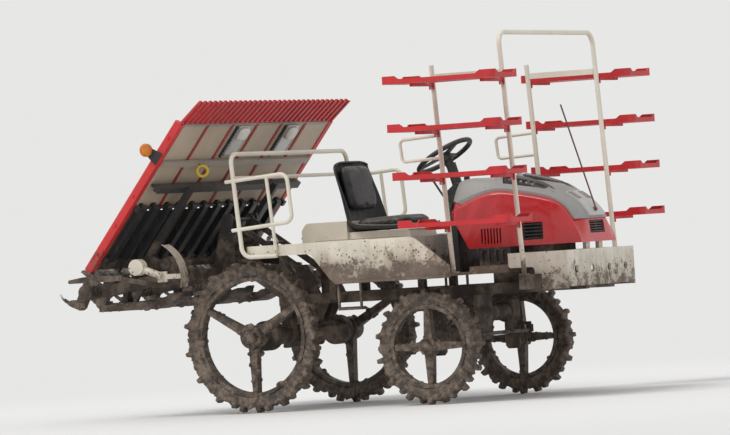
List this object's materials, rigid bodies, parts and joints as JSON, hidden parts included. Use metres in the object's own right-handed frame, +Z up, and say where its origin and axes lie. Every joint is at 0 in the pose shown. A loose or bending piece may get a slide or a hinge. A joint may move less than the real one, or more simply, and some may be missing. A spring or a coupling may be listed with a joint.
{
  "type": "six-row riding rice transplanter",
  "caption": "Four-wheel riding rice transplanter with tiered seedling racks, lifting planting section, sliding seedling tray and rotary planting heads.",
  "frame": {"origin": "centre of the machine's footprint on the ground", "axes": "+X forward along the machine, +Y to its left, +Z up"},
  "size_m": [3.05, 2.11, 2.0501],
  "materials": {
    "mud_steel": "dirty black paint",
    "cream_paint": "satin cream paint, mud stained",
    "red_plastic": "glossy red",
    "red_tray": "matt red moulding",
    "tan_plastic": "dusty moulding",
    "grey_plastic": "grey moulding",
    "black_vinyl": "seat cover",
    "black_plastic": "black moulding",
    "mud_rubber": "rubber caked with mud",
    "mud_rim": "painted steel caked with mud",
    "galvanised": "dull zinc",
    "float_plastic": "muddy moulding",
    "clear_lens": "clear lamp lens",
    "amber_lens": "amber lamp lens"
  },
  "bodies": {
    "chassis": {"main_frame": "mud_steel", "transmission_case": "mud_steel", "front_axle_case": "mud_steel", "rear_axle_case": "mud_steel", "engine_block": "mud_steel", "floor_deck": "cream_paint", "front_deck": "cream_paint", "foot_steps": "mud_steel", "side_covers": "mud_steel", "seat_base": "cream_paint", "seat": "black_vinyl", "steering_column": "black_plastic", "dashboard": "black_plastic", "shift_levers": "black_plastic", "rear_handrail": "cream_paint", "rear_posts": "cream_paint", "front_hoop": "cream_paint", "racks_right": "red_tray", "racks_left": "red_tray"},
    "bonnet": {"bonnet_shell": "red_plastic", "bonnet_top": "grey_plastic", "nose_panel": "grey_plastic", "bonnet_grilles": "black_plastic", "headlamps": "clear_lens", "sighting_pole": "red_plastic"},
    "knuckle_right": {"knuckle_right": "mud_steel"},
    "knuckle_left": {"knuckle_left": "mud_steel"},
    "tie_rod": {"tie_rod": "mud_steel"},
    "steering_wheel": {"steering_wheel": "black_plastic"},
    "front_wheel_right": {"front_rim_right": "mud_rim", "front_tyre_right": "mud_rubber"},
    "front_wheel_left": {"front_rim_left": "mud_rim", "front_tyre_left": "mud_rubber"},
    "rear_wheel_right": {"rear_rim_right": "mud_rim", "rear_tyre_right": "mud_rubber"},
    "rear_wheel_left": {"rear_rim_left": "mud_rim", "rear_tyre_left": "mud_rubber"},
    "lower_link": {"lower_link": "mud_steel"},
    "upper_link": {"upper_link": "mud_steel"},
    "lift_barrel": {"lift_barrel": "mud_steel"},
    "lift_rod": {"lift_rod": "galvanised"},
    "planter": {"planter_frame": "mud_steel", "planting_cases": "mud_steel", "planter_drive": "mud_steel", "side_guards": "mud_steel", "end_caps": "cream_paint", "guide_rail": "galvanised"},
    "float_centre": {"float_centre": "float_plastic"},
    "float_right": {"float_right": "float_plastic"},
    "float_left": {"float_left": "float_plastic"},
    "seedling_tray": {"tray_bed": "tan_plastic", "tray_rails": "red_tray", "tray_extension": "red_tray", "tray_fittings": "galvanised", "feed_belts": "black_plastic", "tray_lamps": "amber_lens"},
    "rotor_right": {"rotor_right": "mud_steel"},
    "rotor_centre": {"rotor_centre": "mud_steel"},
    "rotor_left": {"rotor_left": "mud_steel"}
  },
  "joints": [
    {"name": "steer_right", "type": "hinge", "parent": "chassis", "child": "knuckle_right", "pos_m": [0.725, -0.48, 0.4], "axis": [0, 0, 1], "range_deg": [-40, 40]},
    {"name": "steer_left", "type": "hinge", "parent": "chassis", "child": "knuckle_left", "pos_m": [0.725, 0.48, 0.4], "axis": [0, 0, 1], "range_deg": [-40, 40]},
    {"name": "tie_rod_end", "type": "hinge", "parent": "knuckle_right", "child": "tie_rod", "pos_m": [0.835, -0.48, 0.368], "axis": [0, 0, 1], "range_deg": [-40, 40]},
    {"name": "steering_turn", "type": "hinge", "parent": "chassis", "child": "steering_wheel", "pos_m": [0.595, 0, 1.385], "axis": [-0.5, 0, 0.866], "range_deg": [-360, 360]},
    {"name": "front_wheel_right_spin", "type": "hinge", "parent": "knuckle_right", "child": "front_wheel_right", "pos_m": [0.725, -0.6, 0.325], "axis": [0, 1, 0], "continuous": true},
    {"name": "front_wheel_left_spin", "type": "hinge", "parent": "knuckle_left", "child": "front_wheel_left", "pos_m": [0.725, 0.6, 0.325], "axis": [0, 1, 0], "continuous": true},
    {"name": "rear_wheel_right_spin", "type": "hinge", "parent": "chassis", "child": "rear_wheel_right", "pos_m": [-0.375, -0.6, 0.43], "axis": [0, 1, 0], "continuous": true},
    {"name": "rear_wheel_left_spin", "type": "hinge", "parent": "chassis", "child": "rear_wheel_left", "pos_m": [-0.375, 0.6, 0.43], "axis": [0, 1, 0], "continuous": true},
    {"name": "bonnet_hinge", "type": "hinge", "parent": "chassis", "child": "bonnet", "pos_m": [1.495, 0, 0.85], "axis": [0, 1, 0], "range_deg": [0, 55]},
    {"name": "lift", "type": "hinge", "parent": "chassis", "child": "lower_link", "pos_m": [-0.28447, 0, 0.54453], "axis": [0, 1, 0], "range_deg": [-60, 0]},
    {"name": "lift_upper", "type": "hinge", "parent": "chassis", "child": "upper_link", "pos_m": [-0.28447, 0, 0.78453], "axis": [0, 1, 0], "range_deg": [-60, 0]},
    {"name": "lift_hitch", "type": "hinge", "parent": "lower_link", "child": "planter", "pos_m": [-0.735, 0, 0.86], "axis": [0, 1, 0], "range_deg": [0, 60]},
    {"name": "lift_barrel_pivot", "type": "hinge", "parent": "chassis", "child": "lift_barrel", "pos_m": [-0.255, 0, 0.505], "axis": [0, 1, 0], "range_deg": [-40, 0]},
    {"name": "lift_rod_slide", "type": "slide", "parent": "lift_barrel", "child": "lift_rod", "axis": [-0.5204, 0, 0.8539], "range_m": [-0.21, 0]},
    {"name": "tray_shift", "type": "slide", "parent": "planter", "child": "seedling_tray", "axis": [0, 1, 0], "range_m": [-0.14, 0.14]},
    {"name": "float_centre_pivot", "type": "hinge", "parent": "planter", "child": "float_centre", "pos_m": [-1.175, 0, 0.684], "axis": [0, 1, 0], "range_deg": [-8, 0]},
    {"name": "rotor_centre_turn", "type": "hinge", "parent": "planter", "child": "rotor_centre", "pos_m": [-1.375, 0, 0.735], "axis": [0, 1, 0], "continuous": true},
    {"name": "float_right_pivot", "type": "hinge", "parent": "planter", "child": "float_right", "pos_m": [-1.175, -0.6, 0.684], "axis": [0, 1, 0], "range_deg": [-8, 0]},
    {"name": "rotor_right_turn", "type": "hinge", "parent": "planter", "child": "rotor_right", "pos_m": [-1.375, -0.6, 0.735], "axis": [0, 1, 0], "continuous": true},
    {"name": "float_left_pivot", "type": "hinge", "parent": "planter", "child": "float_left", "pos_m": [-1.175, 0.6, 0.684], "axis": [0, 1, 0], "range_deg": [-8, 0]},
    {"name": "rotor_left_turn", "type": "hinge", "parent": "planter", "child": "rotor_left", "pos_m": [-1.375, 0.6, 0.735], "axis": [0, 1, 0], "continuous": true}
  ],
  "couplings": [
    {"joint": "steer_left", "follows": "steer_right", "ratio": 1},
    {"joint": "tie_rod_end", "follows": "steer_right", "ratio": -1},
    {"joint": "steering_turn", "follows": "steer_right", "ratio": 9},
    {"joint": "lift_upper", "follows": "lift", "ratio": 1},
    {"joint": "lift_hitch", "follows": "lift", "ratio": -1},
    {"joint": "lift_barrel_pivot", "follows": "lift", "ratio": 0.52938},
    {"joint": "lift_rod_slide", "follows": "lift", "m_per_rad": 0.18239},
    {"joint": "rotor_right_turn", "follows": "rotor_centre_turn", "ratio": 1},
    {"joint": "rotor_left_turn", "follows": "rotor_centre_turn", "ratio": 1}
  ]
}
